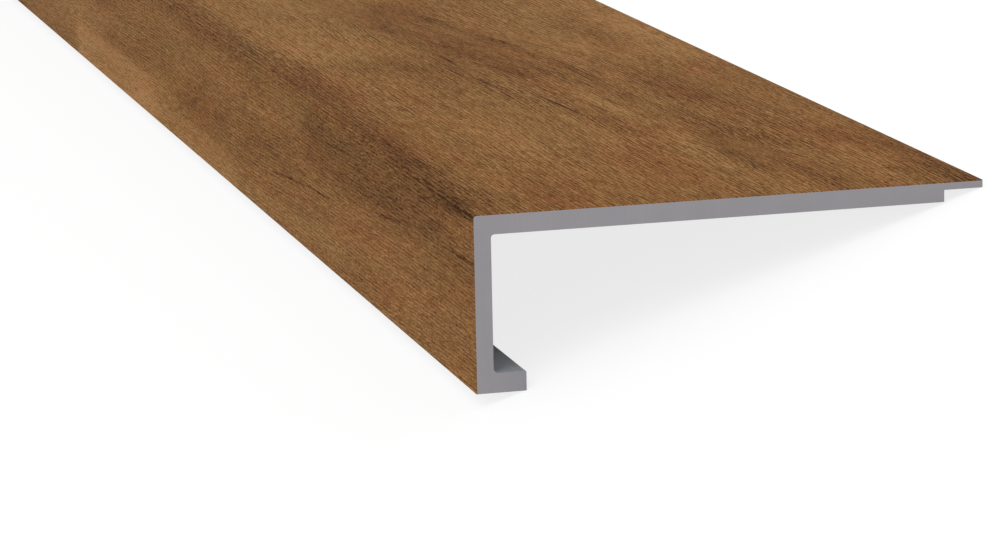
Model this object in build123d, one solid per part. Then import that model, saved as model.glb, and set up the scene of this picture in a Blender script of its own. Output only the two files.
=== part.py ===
from build123d import *
from math import atan2, degrees
import os

# Landing nosing: a rigid vinyl profile for the edge of an upper landing, sold as one straight
# stock length. Its plate lies on the landing, its front leg hangs over the edge, its lip hooks
# back under the edge, and its thin tongue laps over the floor covering. The core is one
# extrusion, and a wood-grain film is bonded over its top and its front.

# Overall sizes, in millimetres
LENGTH = 1219.0
DEPTH = 145.0

# Throat: what the landing edge goes into, from the top of the lip to the underside of the plate
THROAT = 38.1

# Walls
PLATE = 5.5
FRONT_LEG = 4.9
LIP = 5.4
FILM = 0.2

# Lip, measured back from the front face, and the rebate under the rear edge of the plate
LIP_REACH = 14.0
TONGUE_REACH = 11.2
REBATE = 3.35

# Corner radii: the nose, the inside of the plate and leg, the inside of the leg and lip, and
# the small arris that the die leaves on the other core corners
NOSE_RADIUS = 1.0
PLATE_ROOT_RADIUS = 1.0
LIP_ROOT_RADIUS = 1.5
ARRIS = 0.25

# Heights that follow, measured up from the underside of the lip
HEIGHT = LIP + THROAT + PLATE
PLATE_UNDERSIDE = HEIGHT - PLATE
TONGUE_UNDERSIDE = PLATE_UNDERSIDE + REBATE
REBATE_WALL = DEPTH - TONGUE_REACH

# Unheld on a floor, the profile tips back until the rear corner of the lip and the rear corner
# of the tongue both touch, with the film side up. Both corners have the same arris, so the
# floor is parallel to the line through them.
REST_TILT = degrees(atan2(TONGUE_UNDERSIDE, DEPTH - LIP_REACH))


def profile_section(cover):
    """Section of the profile with the front and the top set back by a cover's thickness, the
    nose radius kept concentric: x runs back from the front face, y up from the lip."""
    front = cover
    top = HEIGHT - cover
    corners_and_radii = [
        ((front, 0), 0),
        ((LIP_REACH, 0), ARRIS),
        ((LIP_REACH, LIP), ARRIS),
        ((FRONT_LEG, LIP), LIP_ROOT_RADIUS),
        ((FRONT_LEG, PLATE_UNDERSIDE), PLATE_ROOT_RADIUS),
        ((REBATE_WALL, PLATE_UNDERSIDE), ARRIS),
        ((REBATE_WALL, TONGUE_UNDERSIDE), 0),
        ((DEPTH, TONGUE_UNDERSIDE), ARRIS),
        ((DEPTH, top), 0),
        ((front, top), NOSE_RADIUS - cover),
    ]
    corners = [corner for corner, radius in corners_and_radii]
    radii = [radius for corner, radius in corners_and_radii]
    return make_face(FilletPolyline(*corners, radius=radii, close=True).edges())


def extruded(section):
    """Upright section carried along the length, half each way from the middle."""
    return extrude(Plane.XZ * section, amount=LENGTH / 2, both=True)


def at_rest(shape):
    """Shape tilted about the length until both rear corners reach the floor."""
    return Rot(0, REST_TILT, 0) * shape


# Core, and the film that wraps its front and top
whole_section = profile_section(0)
core_section = profile_section(FILM)
core = at_rest(extruded(core_section))
film = at_rest(extruded(whole_section - core_section))

# Origin at the middle of the footprint, on the floor
reach = (core + film).bounding_box()
to_origin = Pos(-reach.center().X, -reach.center().Y, -reach.min.Z)
nodes = {
    "core_profile": to_origin * core,
    "wood_grain_film": to_origin * film,
}

os.makedirs("parts", exist_ok=True)
for name, shape in nodes.items():
    shape.label = name
    export_step(shape, f"parts/{name}.step")
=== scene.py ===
"""Looks of a landing nosing: a sawn length of grey rigid vinyl profile with a printed wood film
over its top and its front. The frame gives the length and the place that it rests in."""
import math

import bpy
import numpy as np
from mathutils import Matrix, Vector


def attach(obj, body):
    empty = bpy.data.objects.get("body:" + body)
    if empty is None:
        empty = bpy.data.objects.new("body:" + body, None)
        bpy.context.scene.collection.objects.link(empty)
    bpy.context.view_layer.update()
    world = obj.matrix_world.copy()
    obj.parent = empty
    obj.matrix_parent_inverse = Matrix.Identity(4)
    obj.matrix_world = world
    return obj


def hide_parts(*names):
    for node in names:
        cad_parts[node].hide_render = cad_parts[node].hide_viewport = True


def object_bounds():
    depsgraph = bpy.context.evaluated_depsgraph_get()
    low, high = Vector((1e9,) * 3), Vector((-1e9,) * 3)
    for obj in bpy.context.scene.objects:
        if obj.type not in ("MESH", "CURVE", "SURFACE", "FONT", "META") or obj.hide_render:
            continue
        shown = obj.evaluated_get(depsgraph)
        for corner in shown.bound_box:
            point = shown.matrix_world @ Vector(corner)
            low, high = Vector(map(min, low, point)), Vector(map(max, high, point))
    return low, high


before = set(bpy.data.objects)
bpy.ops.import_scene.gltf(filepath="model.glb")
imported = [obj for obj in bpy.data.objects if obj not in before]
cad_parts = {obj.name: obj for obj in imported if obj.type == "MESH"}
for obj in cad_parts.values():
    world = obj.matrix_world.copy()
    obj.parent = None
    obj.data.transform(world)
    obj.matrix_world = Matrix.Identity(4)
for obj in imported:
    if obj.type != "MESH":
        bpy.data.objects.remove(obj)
cad_low, cad_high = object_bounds()

# Section of the profile, in millimetres: back from the front face, and up from the lip
MM = 0.001
DEPTH = 145.0
LIP = 5.4
THROAT = 38.1
PLATE = 5.5
FRONT_LEG = 4.9
FILM = 0.2
LIP_REACH = 14.0
TONGUE_REACH = 11.2
REBATE = 3.35
NOSE_RADIUS = 1.0
PLATE_ROOT_RADIUS = 1.0
LIP_ROOT_RADIUS = 1.5
ARRIS = 0.25
HEIGHT = LIP + THROAT + PLATE
PLATE_UNDERSIDE = HEIGHT - PLATE
TONGUE_UNDERSIDE = PLATE_UNDERSIDE + REBATE
REBATE_WALL = DEPTH - TONGUE_REACH
LENGTH = (cad_high.y - cad_low.y) / MM

# The profile lies tipped back on the rear corners of its lip and its tongue
REST_TILT = math.atan2(TONGUE_UNDERSIDE, DEPTH - LIP_REACH)

# Camera, in the section's upright frame: millimetres back, along from the near end and up
EYE = (-276.25, -1079.0, 263.37)
SIGHT = (0.24869, 0.94714, -0.20270)
LEVEL_RIGHT = (0.96591, -0.25804, -0.02067)
LENS_MM = 153.27
SENSOR_MM = 36.0
CLIP_START_M = 0.05

# Steps of a rounded corner, and the length under which a step is none
ARC_STEPS = 10
NO_STEP_MM = 1e-9


def profile_corners(cover):
    """Corners and radii of the section whose front and top are set back by a cover."""
    top = HEIGHT - cover
    return [
        ((cover, 0), 0),
        ((LIP_REACH, 0), ARRIS),
        ((LIP_REACH, LIP), ARRIS),
        ((FRONT_LEG, LIP), LIP_ROOT_RADIUS),
        ((FRONT_LEG, PLATE_UNDERSIDE), PLATE_ROOT_RADIUS),
        ((REBATE_WALL, PLATE_UNDERSIDE), ARRIS),
        ((REBATE_WALL, TONGUE_UNDERSIDE), 0),
        ((DEPTH, TONGUE_UNDERSIDE), ARRIS),
        ((DEPTH, top), 0),
        ((cover, top), NOSE_RADIUS - cover),
    ]


def rounded_outline(corners_and_radii):
    """Closed outline of a section, its inside on the left, as the start point of each step and
    the outward normals at the step's start and end. At a corner the two edge directions differ
    by a turn. An arc of radius r starts r * tan(turn / 2) before the corner, and its normal
    swings evenly from the first edge's to the second's, with each point r out from the arc's
    centre along it, or in where the corner is a hollow one."""
    corners = np.array([corner for corner, radius in corners_and_radii], float)
    radii = [radius for corner, radius in corners_and_radii]
    points, normals = [], []
    for here, before, after, radius in zip(
        corners, np.roll(corners, 1, 0), np.roll(corners, -1, 0), radii
    ):
        way_in = (here - before) / np.linalg.norm(here - before)
        way_out = (after - here) / np.linalg.norm(after - here)
        turn = math.atan2(way_in[0] * way_out[1] - way_in[1] * way_out[0], way_in @ way_out)
        angles = np.linspace(0, turn, ARC_STEPS + 1 if radius else 2)[:, None]
        out_first = np.array([way_in[1], -way_in[0]])
        swung = out_first * np.cos(angles) + way_in * np.sin(angles)
        side = math.copysign(radius, turn)
        start = here - way_in * radius * math.tan(abs(turn) / 2)
        points.append(start - side * out_first + side * swung)
        normals.append(swung)
    points, normals = np.concatenate(points), np.concatenate(normals)
    end_normals = np.roll(normals, -1, 0)
    real = np.linalg.norm(np.roll(points, -1, 0) - points, axis=1) > NO_STEP_MM
    return points[real], normals[real], end_normals[real]


def turned(section):
    """Section points or directions turned by the rest tilt about the length: x is back times the
    tilt's cosine plus up times its sine, z is up times its cosine less back times its sine."""
    back, up = section[:, 0], section[:, 1]
    x = back * math.cos(REST_TILT) + up * math.sin(REST_TILT)
    z = up * math.cos(REST_TILT) - back * math.sin(REST_TILT)
    return np.stack([x, np.zeros(len(back)), z], 1)


# The shift that puts the turned section where the CAD model lies
whole_section = turned(rounded_outline(profile_corners(0))[0] * MM)
near_y, far_y = cad_low.y, cad_high.y
shift_x = cad_low.x - whole_section[:, 0].min()
shift_z = cad_low.z - whole_section[:, 2].min()


def carried_along(name, points, normals, end_normals, along, caps):
    """A piece that is a section in millimetres carried to each station, in metres along: its
    points turned and shifted into place, a grid of quads whose corners take the section's own
    normals, and the given cap faces, as rows of section indices, at both ends."""
    stations, count = len(along), len(points)
    vertices = turned(points * MM)[None].repeat(stations, 0)
    vertices += (shift_x, 0, shift_z)
    vertices[..., 1] = along[:, None]
    j, i = np.meshgrid(np.arange(stations - 1), np.arange(count), indexing="ij")
    following = (i + 1) % count
    quads = np.stack(
        [j * count + i, (j + 1) * count + i, (j + 1) * count + following, j * count + following],
        -1,
    ).reshape(-1, 4)
    last = (stations - 1) * count
    near_caps = [list(cap) for cap in caps]
    far_caps = [[last + index for index in reversed(cap)] for cap in near_caps]
    mesh = bpy.data.meshes.new(name)
    mesh.from_pydata(vertices.reshape(-1, 3).tolist(), [], quads.tolist() + near_caps + far_caps)
    mesh.shade_smooth()
    first, second = turned(normals), turned(end_normals)
    side_normals = np.stack([first, first, second, second], 1)[None].repeat(stations - 1, 0)
    corners = sum(len(cap) for cap in near_caps)
    end_faces = np.repeat([[0.0, -1.0, 0.0], [0.0, 1.0, 0.0]], corners, 0)
    mesh.normals_split_custom_set(np.concatenate([side_normals.reshape(-1, 3), end_faces]))
    piece = bpy.data.objects.new(name, mesh)
    bpy.context.scene.collection.objects.link(piece)
    return piece


# Core: the grey extrusion
CORE_STATION_MM = 60.0
core_points, core_normals, core_end_normals = rounded_outline(profile_corners(FILM))
core_along = np.linspace(near_y, far_y, round(LENGTH / CORE_STATION_MM) + 1)
core = carried_along(
    "extruded_core",
    core_points,
    core_normals,
    core_end_normals,
    core_along,
    [range(len(core_points))],
)

# Film: a sheet wrapped over the top and the front, on a grid fine enough to carry its figure
GRID_ACROSS_MM = 2.0
GRID_ALONG_MM = 5.0
NOSE_STEPS = 8


def film_path():
    """The film's outer face in section, from the tongue over the nose to the toe: points, their
    outward normals, and the distance round the face from the middle of the nose, positive on
    the top. Straight runs are evenly spaced, and the nose is a quarter circle."""
    top_run = DEPTH - NOSE_RADIUS
    front_run = HEIGHT - NOSE_RADIUS
    top_back = np.linspace(DEPTH, NOSE_RADIUS, round(top_run / GRID_ACROSS_MM) + 1)
    front_up = np.linspace(front_run, 0, round(front_run / GRID_ACROSS_MM) + 1)
    swing = np.linspace(math.pi / 2, math.pi, NOSE_STEPS + 1)
    arc_normals = np.stack([np.cos(swing), np.sin(swing)], 1)
    arc = np.array([NOSE_RADIUS, HEIGHT - NOSE_RADIUS]) + NOSE_RADIUS * arc_normals
    half_arc = NOSE_RADIUS * math.pi / 4
    points = np.concatenate(
        [
            np.stack([top_back, np.full_like(top_back, HEIGHT)], 1)[:-1],
            arc,
            np.stack([np.zeros_like(front_up), front_up], 1)[1:],
        ]
    )
    normals = np.concatenate(
        [
            np.tile([0.0, 1.0], (len(top_back) - 1, 1)),
            arc_normals,
            np.tile([-1.0, 0.0], (len(front_up) - 1, 1)),
        ]
    )
    across = np.concatenate(
        [
            top_back[:-1] - NOSE_RADIUS + half_arc,
            NOSE_RADIUS * (3 * math.pi / 4 - swing),
            front_up[1:] - front_run - half_arc,
        ]
    )
    return points, normals, across


outer, outer_normals, across = film_path()
inner = outer - FILM * outer_normals
side = len(outer)
film_ring = np.concatenate([outer, inner[::-1]])
film_across = np.concatenate([across, across[::-1]])
film_normals = np.concatenate([outer_normals, -outer_normals[::-1]])
film_end_normals = np.roll(film_normals, -1, 0)
# The two cut edges of the film face down at the toe and back at the tongue
film_normals[side - 1] = film_end_normals[side - 1] = (0.0, -1.0)
film_normals[-1] = film_end_normals[-1] = (1.0, 0.0)
film_caps = [[k, k + 1, 2 * side - 2 - k, 2 * side - 1 - k] for k in range(side - 1)]
film_along = np.linspace(near_y, far_y, round(LENGTH / GRID_ALONG_MM) + 1)
film = carried_along(
    "wood_film", film_ring, film_normals, film_end_normals, film_along, film_caps
)

# Figure of the print. L is the distance along from the near end and W the distance across from
# the nose, in millimetres: positive over the top and negative down the front.
L, W = np.meshgrid((film_along - near_y) / MM, film_across, indexing="ij")
STROKE_FADE_MM = 14.0


def stroke(start, end, half_width):
    """Soft stroke of the print: one along the line from start to end, falling off as a bell with
    the distance across it over the half width, and over the fade past its ends."""
    start, end = np.array(start, float), np.array(end, float)
    run = end - start
    length = np.hypot(*run)
    way = run / length
    t = (L - start[0]) * way[0] + (W - start[1]) * way[1]
    off = -(L - start[0]) * way[1] + (W - start[1]) * way[0]
    past = np.maximum(0, np.maximum(-t, t - length))
    return np.exp(-((off / half_width) ** 2) - (past / STROKE_FADE_MM) ** 2)


# Strokes of darker and lighter ink: start, end, half width, lightness, redness
FIGURE = [
    # The dark heart streak that the nose is bent along
    ((-10, 0), (24, -1), 2.6, -0.19, -0.5),
    ((-10, -10), (60, -9), 5.0, -0.07, 0.0),
    ((22, 0.4), (86, 0.0), 3.0, -0.12, -0.2),
    ((50, -4), (85, -5), 3.2, -0.06, 0.0),
    ((84, 4), (145, 3), 3.2, -0.13, 0.0),
    ((195, 4), (240, 3), 3.0, -0.05, 0.0),
    ((92, -12), (130, -12), 6.0, -0.12, 0.0),
    ((40, -8), (200, -11), 8.0, -0.15, 0.0),
    ((20, 4), (260, 5), 9.0, -0.10, 0.0),
    ((285, 1), (440, 1), 7.0, -0.13, -0.2),
    ((470, 0), (620, 2), 5.0, -0.14, -0.2),
    ((55, -13), (125, -17), 2.4, -0.12, 0.0),
    # Darker streaks and tongues down the front, and two paler runs between them
    ((-20, -16), (20, -18), 4.5, -0.11, 0.3),
    ((150, -18), (300, -28), 6.5, -0.11, 0.2),
    ((350, -31), (440, -32), 6.0, -0.05, 0.2),
    ((225, -16), (300, -30), 3.0, -0.06, 0.0),
    ((385, -26), (420, -36), 4.5, -0.10, 0.0),
    ((345, -31), (420, -33), 2.8, -0.07, 0.0),
    ((285, -22), (345, -28), 2.8, -0.06, 0.0),
    ((410, -13), (505, -22), 5.5, -0.04, 0.0),
    ((420, -37), (560, -32), 7.0, 0.06, -0.1),
    ((165, -21.5), (215, -22.5), 1.6, 0.08, 0.0),
    # Paler wood along the toe, and an olive lens under the nose
    ((0, -34), (110, -34), 5.0, 0.05, 0.0),
    ((170, -41), (330, -46), 5.0, 0.12, -0.4),
    ((340, -46), (640, -46), 9.0, 0.19, -0.4),
    ((480, -46), (640, -42), 14.0, 0.18, -0.2),
    ((-8, -47), (10, -47), 3.0, 0.09, 0.0),
    ((215, -6), (262, -5), 3.5, 0.06, -0.8),
    # Dark swirl and its tails near the tongue, and two dark patches nearer the nose
    ((-10, 142), (20, 139), 7.0, -0.25, 0.3),
    ((-10, 128), (25, 132), 8.0, -0.08, 0.3),
    ((205, 50), (250, 52), 9.0, -0.06, 0.0),
    ((80, 22), (104, 22), 6.0, -0.08, 0.0),
    ((44, 142), (84, 133), 7.0, -0.17, 0.5),
    ((46, 94), (92, 96), 3.0, -0.18, 0.0),
    ((44, 93), (68, 91), 1.6, -0.10, 0.0),
    ((10, 105), (44, 103), 2.8, -0.10, 0.1),
    ((80, 112), (112, 104), 5.5, -0.15, 0.1),
    ((20, 108), (130, 99), 8.0, -0.08, 0.3),
    ((102, 82), (130, 78), 4.0, -0.07, 0.8),
    # Light lens and pale runs on the top
    ((148, 84), (180, 83), 2.4, 0.22, -0.8),
    ((-10, 88), (96, 85), 5.0, 0.12, -0.6),
    ((10, 124), (60, 126), 4.0, 0.08, -0.1),
    ((18, 135), (40, 134), 4.0, 0.08, 0.0),
    ((325, 123), (358, 122), 5.0, 0.08, -0.3),
    ((200, 98), (275, 128), 3.2, 0.08, -0.2),
    ((250, 136), (340, 137), 9.0, 0.22, -1.0),
    ((370, 132), (520, 128), 16.0, 0.17, -0.7),
    ((275, 112), (390, 108), 7.0, 0.08, -0.5),
    ((105, 38), (160, 34), 5.0, 0.09, -0.5),
    ((100, 54), (210, 56), 9.0, 0.06, -1.0),
    ((100, 66), (140, 68), 4.0, 0.10, -0.3),
    ((290, 34), (430, 34), 15.0, 0.18, -0.9),
    ((290, 54), (340, 52), 4.0, 0.07, -0.4),
    # Flame figure: dark tongues that close on each other far up the top
    ((140, 100), (215, 92), 2.4, -0.10, 0.1),
    ((222, 95), (300, 84), 2.6, -0.13, 0.0),
    ((218, 84), (262, 82), 2.2, -0.09, 0.1),
    ((226, 76), (300, 68), 6.0, -0.13, 0.5),
    ((228, 76), (300, 66), 10.0, -0.07, 0.0),
    ((322, 66), (394, 74), 11.0, -0.06, 0.0),
    ((160, 66), (215, 62), 4.0, -0.08, 0.2),
    ((296, 77), (344, 57), 4.0, -0.10, 0.2),
    ((300, 86), (372, 74), 2.8, -0.13, 0.0),
    ((356, 70), (398, 78), 6.0, -0.04, 0.5),
    ((340, 56), (392, 66), 4.5, -0.12, 0.2),
    ((310, 49), (372, 49), 1.8, -0.08, -0.1),
    ((185, 59), (280, 58), 2.6, -0.09, -0.1),
    ((116, 75), (180, 70), 3.2, -0.08, 0.0),
    ((165, 114), (228, 110), 6.0, -0.09, 0.4),
    ((250, 48), (262, 22), 9.0, -0.05, -0.2),
    # Redder patches, some of them darker too
    ((-10, 27), (44, 32), 8.0, -0.10, 1.3),
    ((0, 66), (80, 66), 9.0, -0.05, 0.0),
    ((30, 60), (88, 68), 8.0, -0.02, 1.5),
    ((36, 74), (90, 76), 5.0, 0.0, 0.8),
    ((30, 130), (96, 122), 12.0, 0.0, 0.8),
    ((164, 114), (216, 112), 6.0, -0.02, 0.7),
    ((212, 128), (226, 136), 4.0, 0.0, 0.9),
    ((205, 12), (248, 10), 7.0, -0.07, 1.2),
    ((96, 5), (146, 8), 5.0, -0.04, 1.1),
    ((165, -9), (208, -12), 4.5, -0.02, 0.0),
    ((96, -27), (138, -29), 4.0, 0.0, 1.2),
    ((80, -40), (120, -42), 3.5, 0.0, 0.8),
    ((240, 74), (320, 68), 5.0, 0.0, 0.9),
    ((275, 86), (300, 82), 3.0, 0.0, 0.7),
    ((384, 74), (396, 76), 5.0, 0.0, 0.8),
    ((270, -22), (400, -28), 5.0, 0.0, 0.6),
    ((100, 46), (150, 38), 7.0, 0.0, 0.4),
    # Olive patches
    ((300, 6), (330, 8), 5.0, 0.0, -0.8),
    ((330, 44), (430, 46), 6.0, 0.0, -0.6),
    ((310, 109), (360, 110), 4.0, 0.0, -0.8),
]

# Darker inks are redder, so the figure's own darkening takes some redness back
KEEP_HUE = 3.0

# Past the listed strokes, the print goes on in random strokes of the same kinds, which come
# in over the hand-over
RANDOM_SEED = 7
RANDOM_STROKES = 70
DRAWN_END_MM = 470.0
HAND_OVER_MM = 80.0
MIDDLES_ALONG_MM = (DRAWN_END_MM, LENGTH + 20)
MIDDLES_ACROSS_MM = (-50, 148)
HALF_RUNS_MM = (18, 75)
HALF_WIDTHS_MM = (2.0, 8.0)
FALLS = (0.0, 0.09)
LIGHTNESSES = (-0.13, -0.10, 0.09)
REDNESSES = (-0.5, 0.9)

rng = np.random.default_rng(RANDOM_SEED)
lightness, redness = np.zeros_like(L), np.zeros_like(L)
for start, end, half_width, light, red in FIGURE:
    weight = stroke(start, end, half_width)
    lightness += light * weight
    redness += (red + KEEP_HUE * light) * weight
for _ in range(RANDOM_STROKES):
    middle_l = rng.uniform(*MIDDLES_ALONG_MM)
    middle_w = rng.uniform(*MIDDLES_ACROSS_MM)
    half_run = rng.uniform(*HALF_RUNS_MM)
    fall = rng.uniform(*FALLS) * half_run
    weight = stroke(
        (middle_l - half_run, middle_w + fall),
        (middle_l + half_run, middle_w - fall),
        rng.uniform(*HALF_WIDTHS_MM),
    )
    weight *= np.clip(0.5 + (L - DRAWN_END_MM) / HAND_OVER_MM, 0, 1)
    light = rng.choice(LIGHTNESSES)
    lightness += light * weight
    redness += (rng.uniform(*REDNESSES) + KEEP_HUE * light) * weight


def soft_step(distance, run):
    """Half of one plus the hyperbolic tangent of the distance over the run: nothing well before
    zero, and one well past it."""
    return (1 + np.tanh(distance / run)) / 2


def flame(centre_l, centre_w, run, reach, squeeze):
    """Shift across the print that draws its lines together: each line nears the flame's middle
    by the squeeze at its centre, fading as a bell along over the run and across over the
    reach."""
    off = W - centre_w
    return squeeze * off * np.exp(-(((L - centre_l) / run) ** 2) - (off / reach) ** 2)


def bend(centre_l, centre_w, run, reach, slope):
    """Shift across the print that tilts its lines by the slope at the bend's centre: the slope
    times the distance along from there, fading as a bell along over the run and across over
    the reach."""
    off_l, off_w = L - centre_l, W - centre_w
    return slope * off_l * np.exp(-((off_l / run) ** 2) - (off_w / reach) ** 2)


# The top's lines dip towards the nose: how far, where along and over what run, where across and
# over what reach
DIP_MM = 9.0
DIP_ALONG_MM = (280.0, 45.0)
DIP_ACROSS_MM = (88.0, 30.0)

# Flames and bends of the lines: centre along and across, run, reach, and squeeze or slope
FLAMES = [
    (372, 58, 40, 18, 0.5),
    (72, 99, 24, 11, 0.6),
    (760, 96, 110, 42, 1.2),
    (1030, 24, 90, 34, 1.1),
]
STREAK_FLAME = (72, 99, 24, 11, 0.4)
FIBRE_BEND = (250, -25, 120, 25, 0.035)
STREAK_BENDS = [
    (100, 50, 40, 15, -0.16),
    (20, 75, 25, 15, -0.12),
    (90, 132, 55, 12, -0.15),
    (222, 120, 35, 16, -0.20),
    (300, 68, 60, 12, 0.06),
    (330, 48, 50, 10, -0.10),
    (700, 60, 90, 24, -0.12),
    (930, 118, 80, 20, 0.10),
    (880, -24, 90, 18, -0.05),
]

# Fibres run almost straight along the sheet, and the streaks of the figure slope across it
FIBRE_SLOPE = 0.01
STREAK_SLOPE = 0.05

# All the lines wander in two slow waves, whose runs are in millimetres for each radian
wander = 1.6 * np.sin(L / 95.0 + W / 55.0) + 0.6 * np.sin(L / 31.0 - W / 24.0 + 2.0)
dip_middle, dip_reach = DIP_ACROSS_MM
dip = soft_step(L - DIP_ALONG_MM[0], DIP_ALONG_MM[1])
wander += DIP_MM * dip * np.exp(-(((W - dip_middle) / dip_reach) ** 2))
for one in FLAMES:
    wander += flame(*one)
fibre_w = W + FIBRE_SLOPE * L + wander + bend(*FIBRE_BEND)
grain_w = W + STREAK_SLOPE * L + wander + flame(*STREAK_FLAME)
for one in STREAK_BENDS:
    grain_w += bend(*one)

# Openness: how strongly the wide fibres show, less down the front, and patch by patch, in waves
# whose runs are in millimetres for each radian
FRONT_OPENNESS = 0.42
PATCHINESS = 0.28
NOSE_BLEND_MM = 2.0
on_top = soft_step(W, NOSE_BLEND_MM)
openness = FRONT_OPENNESS + (1 - FRONT_OPENNESS) * on_top
openness *= 1 + PATCHINESS * np.sin(L / 29.0 + W / 17.0) * np.sin(L / 61.0 - W / 11.0 + 1.0)

# Painted sheen: a faint pale veil added to the colour down the front only, standing in for the
# sheen that light gives its coat there
FRONT_PAINTED_SHEEN = 0.0045
painted_sheen = FRONT_PAINTED_SHEEN * (1 - on_top)


def put_figure(mesh):
    """The film's flat maps in millimetres, print for the plain sheet, grain for the sheet with
    its streaks bent and fibres for the sheet with its fibres bent, and the lightness, redness
    and openness of its figure and the painted sheen on its front at each point."""
    corner_vertices = np.empty(len(mesh.loops), np.int32)
    mesh.loops.foreach_get("vertex_index", corner_vertices)
    for name, sideways in (("print", W), ("grain", grain_w), ("fibres", fibre_w)):
        flat = np.stack([L.ravel(), sideways.ravel()], 1)[corner_vertices]
        layer = mesh.uv_layers.new(name=name)
        layer.data.foreach_set("uv", flat.astype(np.float32).ravel())
    for name, values in (
        ("lightness", lightness),
        ("redness", redness),
        ("openness", openness),
        ("painted_sheen", painted_sheen),
    ):
        attribute = mesh.attributes.new(name, "FLOAT", "POINT")
        attribute.data.foreach_set("value", values.astype(np.float32).ravel())


put_figure(film.data)


# Materials
def paint(hex_colour):
    """Linear red, green, blue and alpha of an sRGB hex colour."""
    parts = [int(hex_colour[k:k + 2], 16) / 255 for k in (1, 3, 5)]
    linear = [c / 12.92 if c <= 0.04045 else ((c + 0.055) / 1.055) ** 2.4 for c in parts]
    return (*linear, 1.0)


def add(tree, kind, links=None, **settings):
    """A node with its settings, each input given as a value or as the socket that feeds it."""
    made = tree.nodes.new(kind)
    for name, value in settings.items():
        setattr(made, name, value)
    for socket, value in (links or {}).items():
        if isinstance(value, bpy.types.NodeSocket):
            tree.links.new(value, made.inputs[socket])
        else:
            made.inputs[socket].default_value = value
    return made


def new_material(name):
    """An empty material's tree and its output node."""
    made = bpy.data.materials.new(name)
    made.use_nodes = True
    made.node_tree.nodes.clear()
    return made, made.node_tree, made.node_tree.nodes.new("ShaderNodeOutputMaterial")


# The way that a pattern's seed moves it through the noise
SEED_WAY = (1.0, 0.7, 1.0)


def stretched_noise(tree, where, cell_mm, seed):
    """Noise of two octaves on a place or map in millimetres, whose cells have the given size
    along each axis that is given. The seed moves it to another part of the noise."""
    cells_a_mm = [1 / size for size in cell_mm] + [1.0] * (3 - len(cell_mm))
    moved = [seed * way for way in SEED_WAY]
    scaled = add(
        tree,
        "ShaderNodeVectorMath",
        {0: where, 1: cells_a_mm, 2: moved},
        operation="MULTIPLY_ADD",
    )
    return add(
        tree, "ShaderNodeTexNoise", {"Vector": scaled.outputs[0], "Scale": 1.0, "Detail": 1.0}
    ).outputs["Fac"]


def shaded(tree, colour, pattern, span, shades):
    """A colour times a shade, which goes from the first to the second as the pattern goes over
    its span."""
    shade = add(
        tree,
        "ShaderNodeMapRange",
        {
            "Value": pattern,
            "From Min": span[0],
            "From Max": span[1],
            "To Min": shades[0],
            "To Max": shades[1],
        },
    )
    return add(
        tree, "ShaderNodeVectorMath", {0: colour, "Scale": shade.outputs[0]}, operation="SCALE"
    ).outputs[0]


def dull_plastic(tree, out, colour, height, strength, depth_mm, roughness, gloss):
    """A plastic's surface over a relief, given by its height, how strongly it shows and how deep
    it is."""
    relief = add(
        tree,
        "ShaderNodeBump",
        {"Strength": strength, "Distance": depth_mm * MM, "Height": height},
    )
    surface = add(
        tree,
        "ShaderNodeBsdfPrincipled",
        {
            "Base Color": colour,
            "Roughness": roughness,
            "IOR": 1.5,
            "Specular IOR Level": gloss,
            "Normal": relief.outputs[0],
        },
    )
    tree.links.new(surface.outputs[0], out.inputs["Surface"])


# The print's brown inks, from the darkest vein to the palest fibre
INKS = [
    (0.0, "#371E08"),
    (0.175, "#533118"),
    (0.35, "#694322"),
    (0.475, "#744E2A"),
    (0.5875, "#7E5731"),
    (0.7125, "#896238"),
    (0.8375, "#946D43"),
    (1.0, "#A57A4F"),
]
MIDDLE_INK = 0.5875

# Layers of the print: cell sizes along and across in millimetres, and how much ink. The finest
# fibres of real oak are a fifth of a millimetre wide, too fine to show, so they are drawn nearly
# twice as wide, and the open ones four times as wide, which a flat view of the top still shows.
FINE_FIBRES = [((10.0, 0.36), 0.80), ((2.4, 0.36), 0.86)]
OPEN_FIBRES = [((15.0, 0.75), 0.42)]
STREAKS = [
    ((30.0, 1.5), 0.16),
    ((50.0, 3.0), 0.16),
    ((85.0, 6.0), 0.15),
    ((130.0, 13.0), 0.18),
    ((220.0, 28.0), 0.24),
]

# The seeds of a group of layers lie this far apart
SEED_STEP = 3.1

# Combs of fibres: their pitch in millimetres, the cells of the noise that jogs them, by how many
# turns of the wave it does, and how much ink. The cross comb is the print's fine medullary rays,
# which slant across the fibres, by an angle in radians.
FINE_COMB = (1.10, (6.0, 0.9), 1.4, 0.12)
OPEN_COMB = (1.5, (17.0, 1.6), 1.4, 0.11)
CROSS_COMB = (1.1, (2.4, 1.0), 2.6, 0.13)
CROSS_SLANT = 0.54

# Pores: their cells in millimetres, the noise levels where they start and are full, and their ink
PORE_CELLS_MM = (3.6, 0.5)
PORE_START, PORE_FULL = 0.56, 0.70
PORE_INK = -0.22

# Tint: the cells of its patches and veins in millimetres and their shares, the share of the
# figure's redness, and the level that centres them. The two tints multiply the ink.
TINT_PATCHES = ((60.0, 9.0), 0.9)
TINT_VEINS = ((16.0, 2.4), 0.4)
REDNESS_SHARE = 0.28
TINT_LEVEL = -0.15
OLIVE_TINT = (0.91, 1.035, 1.0, 1)
RUSSET_TINT = (1.09, 0.965, 0.93, 1)

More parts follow.
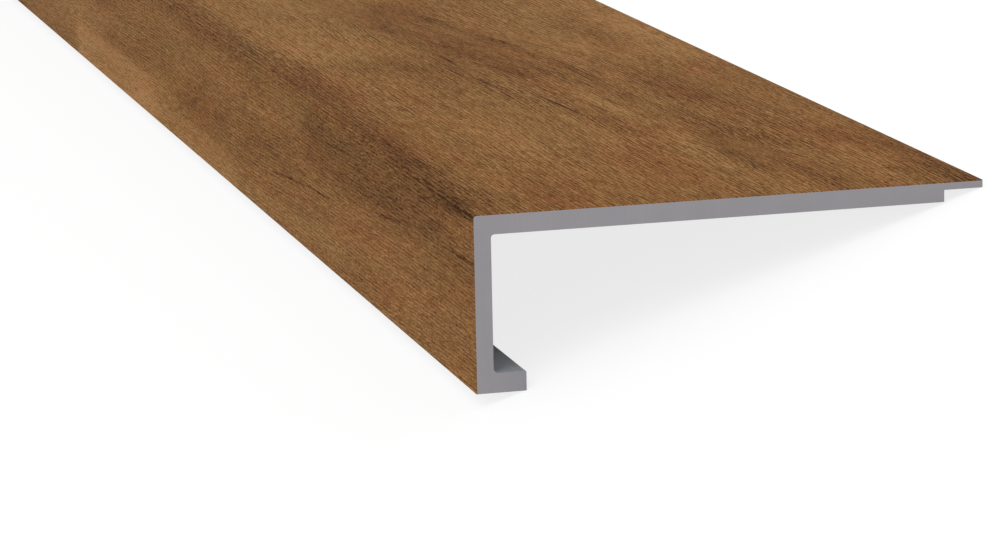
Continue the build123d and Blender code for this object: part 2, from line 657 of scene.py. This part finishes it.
# Thin checks in the wood: start, end, half width, and the ink that they take away, which the
# peak multiplies in the middle of a check
CHECK_PEAK = 1.6
CHECKS = [
    ((137, 72.3), (160, 70.8), 0.70, 0.38),
    ((150, 71.4), (184, 68.9), 0.75, 0.58),
    ((182, 75.2), (197, 73.6), 0.60, 0.30),
    ((145, 80.4), (166, 79.6), 0.60, 0.34),
    ((154, 87.3), (176, 86.3), 0.55, 0.28),
    ((197, 96.2), (264, 92.8), 1.30, 0.13),
    ((262, 93.0), (314, 84.8), 1.40, 0.15),
    ((193, 93.2), (244, 92.2), 1.00, 0.12),
    ((343, 84.5), (372, 72.5), 1.60, 0.13),
    ((176, 60.4), (200, 60.0), 0.60, 0.34),
    ((202, 60.3), (228, 60.0), 0.65, 0.48),
    ((250, 60.8), (280, 60.1), 0.70, 0.58),
    ((225, 56.8), (247, 55.8), 0.60, 0.24),
    ((314, 49.2), (336, 48.4), 0.60, 0.26),
    ((76, -16.4), (117, -20.0), 0.70, 0.34),
    ((-6, -13.0), (30, -14.4), 0.80, 0.30),
    ((170, -26.4), (214, -28.2), 0.60, 0.36),
    ((204, -28.0), (270, -32.6), 0.60, 0.28),
    ((-14, -0.6), (30, -1.2), 1.30, 0.12),
    ((612, 84.0), (655, 80.5), 0.70, 0.42),
    ((846, 22.4), (884, 21.0), 0.60, 0.38),
    ((980, -24.0), (1022, -25.6), 0.60, 0.34),
    ((1092, 104.0), (1130, 101.6), 0.70, 0.40),
]


def printed_wood_film():
    """Printed PVC decor film with a dead-matte wear coat, laminated hot over the core. The print
    gives it a fine brown grain, and the press plate a very shallow relief that follows it."""
    made, tree, out = new_material("printed_wood_film")
    print_map = add(tree, "ShaderNodeUVMap", uv_map="print").outputs[0]
    grain_map = add(tree, "ShaderNodeUVMap", uv_map="grain").outputs[0]
    fibre_map = add(tree, "ShaderNodeUVMap", uv_map="fibres").outputs[0]
    lightness_here = add(tree, "ShaderNodeAttribute", attribute_name="lightness").outputs["Fac"]
    redness_here = add(tree, "ShaderNodeAttribute", attribute_name="redness").outputs["Fac"]
    openness_here = add(tree, "ShaderNodeAttribute", attribute_name="openness").outputs["Fac"]
    painted_sheen_here = add(tree, "ShaderNodeAttribute", attribute_name="painted_sheen").outputs["Vector"]

    def streaked(layers, seed, where=grain_map):
        """Ink of some layers of streaks, each about its middle value."""
        ink = 0.0
        for number, (cell, amount) in enumerate(layers):
            streaks = stretched_noise(tree, where, cell, seed + SEED_STEP * number)
            centred = add(tree, "ShaderNodeMath", {0: streaks, 1: 0.5}, operation="SUBTRACT")
            ink = add(
                tree,
                "ShaderNodeMath",
                {0: centred.outputs[0], 1: amount, 2: ink},
                operation="MULTIPLY_ADD",
            ).outputs[0]
        return ink

    def combed(comb, seed, ink, where=fibre_map):
        """Ink with a comb of fibres added: sine lines along the grain, each jogged by a noise."""
        pitch, jog_cells, jog_turns, amount = comb
        across_grain = add(tree, "ShaderNodeSeparateXYZ", {0: where}).outputs["Y"]
        phase = 0.0
        for value, turns in (
            (across_grain, 1 / pitch),
            (stretched_noise(tree, where, jog_cells, seed), jog_turns),
        ):
            phase = add(
                tree,
                "ShaderNodeMath",
                {0: value, 1: 2 * math.pi * turns, 2: phase},
                operation="MULTIPLY_ADD",
            ).outputs[0]
        wave = add(tree, "ShaderNodeMath", {0: phase}, operation="SINE").outputs[0]
        return add(
            tree, "ShaderNodeMath", {0: wave, 1: amount, 2: ink}, operation="MULTIPLY_ADD"
        ).outputs[0]

    # Fibres: fine ones all over, and open ones where the figure is strong
    fibres = combed(FINE_COMB, 27.0, streaked(FINE_FIBRES, 1.0, fibre_map))
    open_fibres = combed(OPEN_COMB, 32.0, streaked(OPEN_FIBRES, 8.0, fibre_map))
    slanted_map = add(
        tree, "ShaderNodeMapping", {"Vector": fibre_map, "Rotation": (0, 0, CROSS_SLANT)}
    ).outputs[0]
    open_fibres = combed(CROSS_COMB, 36.0, open_fibres, slanted_map)
    fibres = add(
        tree,
        "ShaderNodeMath",
        {0: open_fibres, 1: openness_here, 2: fibres},
        operation="MULTIPLY_ADD",
    ).outputs[0]

    # Pores: short dark ticks, only where a stretched noise peaks
    pore_noise = stretched_noise(tree, fibre_map, PORE_CELLS_MM, 21.0)
    pores = add(
        tree,
        "ShaderNodeMapRange",
        {
            "Value": pore_noise,
            "From Min": PORE_START,
            "From Max": PORE_FULL,
            "To Min": 0.0,
            "To Max": PORE_INK,
        },
        interpolation_type="SMOOTHSTEP",
    ).outputs[0]

    # Ink: the figure, the streaks, the fibres and the pores
    ink = add(
        tree, "ShaderNodeMath", {0: lightness_here, 1: MIDDLE_INK}, operation="ADD"
    ).outputs[0]
    for part in (streaked(STREAKS, 15.0), fibres, pores):
        ink = add(tree, "ShaderNodeMath", {0: ink, 1: part}, operation="ADD").outputs[0]

    # Checks: slim dark ellipses, dark in the middle and nothing at their rim
    for start, end, half_width, depth in CHECKS:
        middle = [(a + b) / 2 for a, b in zip(start, end)]
        turn = math.atan2(end[1] - start[1], end[0] - start[0])
        half_run = math.hypot(end[0] - start[0], end[1] - start[1]) / 2
        local = add(
            tree,
            "ShaderNodeMapping",
            {
                "Vector": print_map,
                "Location": (*middle, 0),
                "Rotation": (0, 0, turn),
                "Scale": (half_run, half_width, 1),
            },
            vector_type="TEXTURE",
        )
        inside = add(
            tree, "ShaderNodeTexGradient", {0: local.outputs[0]}, gradient_type="SPHERICAL"
        )
        ink = add(
            tree,
            "ShaderNodeMath",
            {0: inside.outputs["Fac"], 1: -CHECK_PEAK * depth, 2: ink},
            operation="MULTIPLY_ADD",
        ).outputs[0]

    inks = add(tree, "ShaderNodeValToRGB", {0: ink})
    while len(inks.color_ramp.elements) < len(INKS):
        inks.color_ramp.elements.new(0.5)
    for element, (position, colour) in zip(inks.color_ramp.elements, INKS):
        element.position = position
        element.color = paint(colour)

    # Tint: russet against olive, in patches a few centimetres long and in single streaks. A colour
    # mix takes its two colours at sockets 6 and 7, and gives the mixed one at 2.
    tint_level = add(
        tree,
        "ShaderNodeMath",
        {0: redness_here, 1: REDNESS_SHARE, 2: TINT_LEVEL},
        operation="MULTIPLY_ADD",
    ).outputs[0]
    for (cells_mm, share), seed in ((TINT_PATCHES, 40.0), (TINT_VEINS, 44.0)):
        tint_level = add(
            tree,
            "ShaderNodeMath",
            {0: stretched_noise(tree, grain_map, cells_mm, seed), 1: share, 2: tint_level},
            operation="MULTIPLY_ADD",
        ).outputs[0]
    tint = add(
        tree,
        "ShaderNodeMix",
        {"Factor": tint_level, 6: OLIVE_TINT, 7: RUSSET_TINT},
        data_type="RGBA",
    )
    colour = add(
        tree,
        "ShaderNodeMix",
        {"Factor": 1.0, 6: inks.outputs["Color"], 7: tint.outputs[2]},
        data_type="RGBA",
        blend_type="MULTIPLY",
    )
    # Painted sheen: a faint pale veil added to the colour down the front, standing in for the
    # sheen of light there
    with_painted_sheen = add(
        tree, "ShaderNodeVectorMath", {0: colour.outputs[2], 1: painted_sheen_here}, operation="ADD"
    )

    # The press plate's relief, under a tenth of a millimetre deep, and a duller coat in its lows
    height = add(tree, "ShaderNodeMath", {0: pores, 1: fibres}, operation="ADD").outputs[0]
    dullness = add(
        tree,
        "ShaderNodeMapRange",
        {"Value": fibres, "From Min": -0.2, "From Max": 0.2, "To Min": 0.70, "To Max": 0.58},
    ).outputs[0]
    dull_plastic(
        tree,
        out,
        with_painted_sheen.outputs[0],
        height,
        strength=0.35,
        depth_mm=0.08,
        roughness=dullness,
        gloss=0.01,
    )
    return made


# Core: its two greys, the sizes of the clouds and the grains in it, the grains' share, and the
# span of the two together
SAWN_GREY = "#918E92"
# The extruded grey is lighter and cooler than the sawn grey: partly the die's smoother face, and
# partly painted fill light that lifts faces in shade, such as the lip's top under the plate
EXTRUDED_GREY = "#9B9EA1"
CLOUD_MM = (9.0, 9.0, 9.0)
GRAIN_MM = (0.35, 0.35, 0.35)
GRAIN_SHARE = 0.55
FILLER_SPAN = (0.45, 1.10)
FILLER_SHADES = (0.97, 1.03)

# Lines that the die draws on the core's sides, by their size across, along and up, and the marks
# of the saw on its ends, by their pitch and the saw's centre in the section, well past the tongue
DIE_LINE_MM = (0.7, 500.0, 0.7)
SAW_MARK_MM = 0.9
SAW_CENTRE_MM = (210.0, -60.0)
MARK_SPAN = (0.3, 0.7)
DIE_SHADES = (0.95, 1.04)
SAW_SHADES = (0.99, 1.01)


def filled_vinyl(tree, grey):
    """The core's grey with its filler, faint cloudiness and fine pale and dark grains, and the
    piece's own coordinates in millimetres."""
    place = add(tree, "ShaderNodeTexCoord").outputs["Object"]
    place_mm = add(
        tree, "ShaderNodeVectorMath", {0: place, "Scale": 1 / MM}, operation="SCALE"
    ).outputs[0]
    cloud = stretched_noise(tree, place_mm, CLOUD_MM, 5.0)
    grains = stretched_noise(tree, place_mm, GRAIN_MM, 9.0)
    filler = add(
        tree, "ShaderNodeMath", {0: grains, 1: GRAIN_SHARE, 2: cloud}, operation="MULTIPLY_ADD"
    ).outputs[0]
    return shaded(tree, paint(grey)[:3], filler, FILLER_SPAN, FILLER_SHADES), place_mm


def extruded_rigid_vinyl():
    """Stone-filled rigid PVC as it leaves the die: a dull mid grey, with faint lines that the
    die's lips draw along the whole length. Its grey is set lighter and cooler than the sawn ends,
    partly for the die's smoother face and partly as painted fill light that lifts its faces in
    shade."""
    made, tree, out = new_material("extruded_rigid_vinyl")
    colour, place_mm = filled_vinyl(tree, EXTRUDED_GREY)
    die_lines = stretched_noise(tree, place_mm, DIE_LINE_MM, 13.0)
    dull_plastic(
        tree,
        out,
        shaded(tree, colour, die_lines, MARK_SPAN, DIE_SHADES),
        die_lines,
        strength=0.5,
        depth_mm=0.06,
        roughness=0.62,
        gloss=0.25,
    )
    return made


def sawn_rigid_vinyl():
    """The same vinyl where a fine-toothed mitre saw has cut it: a duller grey than the extruded
    faces, whose grey is lifted partly as painted fill light, with faint arcs about the blade's
    centre."""
    made, tree, out = new_material("sawn_rigid_vinyl")
    colour, place_mm = filled_vinyl(tree, SAWN_GREY)
    flat = add(
        tree, "ShaderNodeVectorMath", {0: place_mm, 1: (1.0, 0.0, 1.0)}, operation="MULTIPLY"
    )
    from_saw = add(
        tree,
        "ShaderNodeVectorMath",
        {0: flat.outputs[0], 1: (SAW_CENTRE_MM[0], 0.0, SAW_CENTRE_MM[1])},
        operation="DISTANCE",
    ).outputs["Value"]
    radius = add(tree, "ShaderNodeCombineXYZ", {0: from_saw})
    marks = stretched_noise(tree, radius.outputs[0], (SAW_MARK_MM, 1.0, 1.0), 17.0)
    dull_plastic(
        tree,
        out,
        shaded(tree, colour, marks, MARK_SPAN, SAW_SHADES),
        marks,
        strength=0.4,
        depth_mm=0.05,
        roughness=0.75,
        gloss=0.2,
    )
    return made


film.data.materials.append(printed_wood_film())
core.data.materials.append(extruded_rigid_vinyl())
core.data.materials.append(sawn_rigid_vinyl())
# The core's last two faces are its sawn ends
face_slots = np.zeros(len(core.data.polygons), np.int32)
face_slots[-2:] = 1
core.data.polygons.foreach_set("material_index", face_slots)

for piece, node, slot in (
    (core, "core_profile", "rigid_core"),
    (film, "wood_grain_film", "wood_film"),
):
    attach(piece, "root")
    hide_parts(node)


# Studio: white, the paper and the share of its own shading that shows, how far it goes, the
# level of the light all round, and the softbox's place, size and power
WHITE = paint("#FFFFFF")
PAPER = paint("#F0F0F0")
PAPER_SHADING = 0.20
FLOOR_HALF_M = 8.0
WORLD_LEVEL = 0.84
SOFTBOX_PLACE = (-1.1, -2.5, 3.8)
SOFTBOX_SIZE_M = 2.6
SOFTBOX_WATTS = 56.0


def white_for_sight(tree, plain, seen):
    """Plain for light that the surface or the world gives off, and seen for what the camera, a
    gloss or a clear thing shows of it."""
    rays = add(tree, "ShaderNodeLightPath").outputs
    shown = add(
        tree,
        "ShaderNodeMath",
        {0: rays["Is Camera Ray"], 1: rays["Is Glossy Ray"]},
        operation="MAXIMUM",
    )
    shown = add(
        tree,
        "ShaderNodeMath",
        {0: shown.outputs[0], 1: rays["Is Transmission Ray"]},
        operation="MAXIMUM",
    )
    return add(tree, "ShaderNodeMixShader", {0: shown.outputs[0], 1: plain, 2: seen}).outputs[0]


def studio_floor():
    """Seamless white paper: matt, and shown almost white, with only a part of the shadow."""
    made, tree, out = new_material("white_paper")
    plain = add(tree, "ShaderNodeBsdfDiffuse", {"Color": PAPER})
    bright = add(tree, "ShaderNodeEmission", {"Color": WHITE, "Strength": 1.0})
    white = add(tree, "ShaderNodeBsdfDiffuse", {"Color": WHITE})
    shown = add(
        tree,
        "ShaderNodeMixShader",
        {0: PAPER_SHADING, 1: bright.outputs[0], 2: white.outputs[0]},
    )
    seen = white_for_sight(tree, plain.outputs[0], shown.outputs[0])
    tree.links.new(seen, out.inputs["Surface"])
    return made


square = np.array([(-1, -1, 0), (1, -1, 0), (1, 1, 0), (-1, 1, 0)]) * FLOOR_HALF_M
floor_mesh = bpy.data.meshes.new("floor")
floor_mesh.from_pydata((square + (0, 0, cad_low.z)).tolist(), [], [(0, 1, 2, 3)])
floor_mesh.materials.append(studio_floor())
floor = bpy.data.objects.new("floor", floor_mesh)
bpy.context.scene.collection.objects.link(floor)

world = bpy.data.worlds.new("studio")
bpy.context.scene.world = world
world.use_nodes = True
world.node_tree.nodes.clear()
world_out = world.node_tree.nodes.new("ShaderNodeOutputWorld")
room_light = add(world.node_tree, "ShaderNodeBackground", {0: WHITE, 1: WORLD_LEVEL})
white_back = add(world.node_tree, "ShaderNodeBackground", {0: WHITE, 1: 1.0})
world_seen = white_for_sight(world.node_tree, room_light.outputs[0], white_back.outputs[0])
world.node_tree.links.new(world_seen, world_out.inputs["Surface"])


def softbox(name, place, size, watts):
    """A square area lamp that faces the middle of the nosing."""
    lamp = bpy.data.lights.new(name, "AREA")
    lamp.size = size
    lamp.energy = watts
    holder = bpy.data.objects.new(name, lamp)
    holder.location = place
    holder.rotation_euler = Vector(place).to_track_quat("Z", "Y").to_euler()
    bpy.context.scene.collection.objects.link(holder)


softbox("softbox_front_left", SOFTBOX_PLACE, SOFTBOX_SIZE_M, SOFTBOX_WATTS)


# Camera at the photograph's viewing angle, tipped back with the nosing
def camera():
    """The upright frame's sight line and level direction turned by the rest tilt, and the eye
    measured from the near end of the nosing."""
    to_row = np.array(
        [
            [math.cos(REST_TILT), 0, math.sin(REST_TILT)],
            [0, 1, 0],
            [-math.sin(REST_TILT), 0, math.cos(REST_TILT)],
        ]
    )
    sight = to_row @ np.array(SIGHT)
    right = to_row @ np.array(LEVEL_RIGHT)
    sight /= np.linalg.norm(sight)
    right -= sight * (right @ sight)
    right /= np.linalg.norm(right)
    up = np.cross(right, sight)
    eye = to_row @ (np.array(EYE) * MM) + (shift_x, near_y, shift_z)
    lens = bpy.data.cameras.new("camera")
    lens.sensor_fit = "HORIZONTAL"
    lens.sensor_width = SENSOR_MM
    lens.lens = LENS_MM
    lens.clip_start = CLIP_START_M
    holder = bpy.data.objects.new("camera", lens)
    pose = np.eye(4)
    pose[:3, 0], pose[:3, 1], pose[:3, 2], pose[:3, 3] = right, up, -sight, eye
    holder.matrix_world = pose.T.tolist()
    bpy.context.scene.collection.objects.link(holder)
    bpy.context.scene.camera = holder


camera()
bpy.context.scene.view_settings.view_transform = "Standard"
